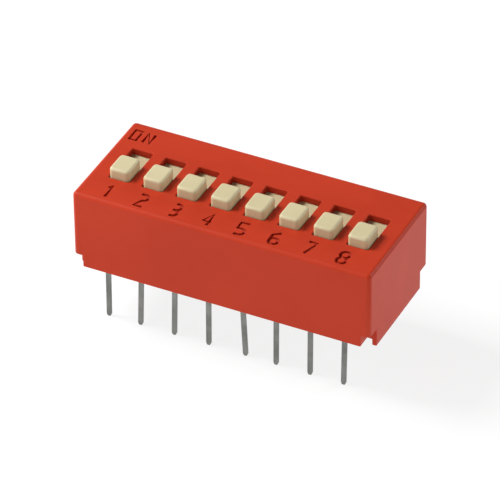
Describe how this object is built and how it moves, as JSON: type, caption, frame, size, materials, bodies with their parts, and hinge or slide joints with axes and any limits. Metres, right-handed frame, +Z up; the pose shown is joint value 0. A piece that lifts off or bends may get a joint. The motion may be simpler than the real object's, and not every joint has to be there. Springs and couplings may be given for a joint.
{
  "type": "dip switch",
  "caption": "Through-hole DIP switch: a red moulded block with cream slide actuators in slots, ON and pole numbers engraved, and two rows of thin tinned pins.",
  "frame": {"origin": "centre of the pin pattern on the seating plane, which is the undersides of the feet under the two end walls; the pins reach below it", "axes": "+X along the row of poles from number 1 to number 8, +Y from the numbers towards the ON side, +Z up out of the board; every slider is at OFF"},
  "size_m": [0.0222, 0.0092, 0.0111],
  "materials": {
    "cover_plastic": "red moulded thermoplastic, satin",
    "base_plastic": "red moulded thermoplastic, matt",
    "seal_resin": "dark casting resin, levelled and cured",
    "slider_plastic": "cream moulded thermoplastic, matt",
    "spring_gold": "gold-plated copper alloy strip",
    "terminal_tin": "tinned copper alloy, dull grey"
  },
  "bodies": {
    "housing": {"cover": "cover_plastic", "base": "base_plastic", "seal": "seal_resin", "terminal_front_1": "terminal_tin", "terminal_front_2": "terminal_tin", "terminal_front_3": "terminal_tin", "terminal_front_4": "terminal_tin", "terminal_front_5": "terminal_tin", "terminal_front_6": "terminal_tin", "terminal_front_7": "terminal_tin", "terminal_front_8": "terminal_tin", "terminal_back_1": "terminal_tin", "terminal_back_2": "terminal_tin", "terminal_back_3": "terminal_tin", "terminal_back_4": "terminal_tin", "terminal_back_5": "terminal_tin", "terminal_back_6": "terminal_tin", "terminal_back_7": "terminal_tin", "terminal_back_8": "terminal_tin"},
    "switch_1": {"slider_1": "slider_plastic", "spring_1": "spring_gold"},
    "switch_2": {"slider_2": "slider_plastic", "spring_2": "spring_gold"},
    "switch_3": {"slider_3": "slider_plastic", "spring_3": "spring_gold"},
    "switch_4": {"slider_4": "slider_plastic", "spring_4": "spring_gold"},
    "switch_5": {"slider_5": "slider_plastic", "spring_5": "spring_gold"},
    "switch_6": {"slider_6": "slider_plastic", "spring_6": "spring_gold"},
    "switch_7": {"slider_7": "slider_plastic", "spring_7": "spring_gold"},
    "switch_8": {"slider_8": "slider_plastic", "spring_8": "spring_gold"}
  },
  "joints": [
    {"name": "slide_1", "type": "slide", "parent": "housing", "child": "switch_1", "axis": [0, 1, 0], "range_m": [0, 0.00174]},
    {"name": "slide_2", "type": "slide", "parent": "housing", "child": "switch_2", "axis": [0, 1, 0], "range_m": [0, 0.00174]},
    {"name": "slide_3", "type": "slide", "parent": "housing", "child": "switch_3", "axis": [0, 1, 0], "range_m": [0, 0.00174]},
    {"name": "slide_4", "type": "slide", "parent": "housing", "child": "switch_4", "axis": [0, 1, 0], "range_m": [0, 0.00174]},
    {"name": "slide_5", "type": "slide", "parent": "housing", "child": "switch_5", "axis": [0, 1, 0], "range_m": [0, 0.00174]},
    {"name": "slide_6", "type": "slide", "parent": "housing", "child": "switch_6", "axis": [0, 1, 0], "range_m": [0, 0.00174]},
    {"name": "slide_7", "type": "slide", "parent": "housing", "child": "switch_7", "axis": [0, 1, 0], "range_m": [0, 0.00174]},
    {"name": "slide_8", "type": "slide", "parent": "housing", "child": "switch_8", "axis": [0, 1, 0], "range_m": [0, 0.00174]}
  ]
}
